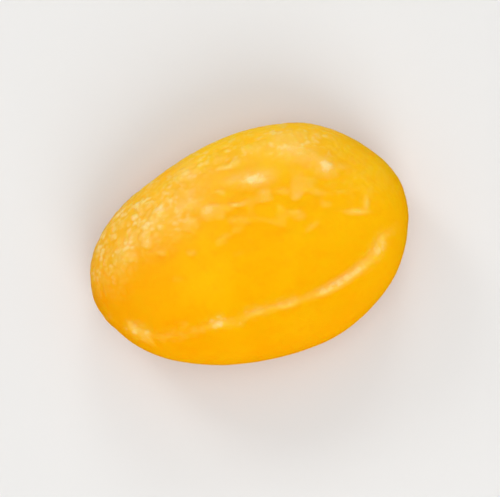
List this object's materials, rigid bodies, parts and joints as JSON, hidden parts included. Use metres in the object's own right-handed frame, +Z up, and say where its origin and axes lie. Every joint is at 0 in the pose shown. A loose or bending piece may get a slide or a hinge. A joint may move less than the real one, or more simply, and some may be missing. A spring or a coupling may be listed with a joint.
{
  "type": "dried apricot",
  "caption": "Whole pitted dried apricot: a soft flattened oval fruit with a suture groove along its upper face, a creased back and a hollow in its underside.",
  "frame": {"origin": "centre of the bounding box on the surface that the fruit rests on", "axes": "+X along the fruit's length from the stem end to the tip, +Y across it away from the suture, +Z up from its flat underside"},
  "size_m": [0.042, 0.0292, 0.0144],
  "materials": {
    "apricot_flesh": "satin"
  },
  "bodies": {
    "root": {"apricot": "apricot_flesh"}
  },
  "joints": []
}
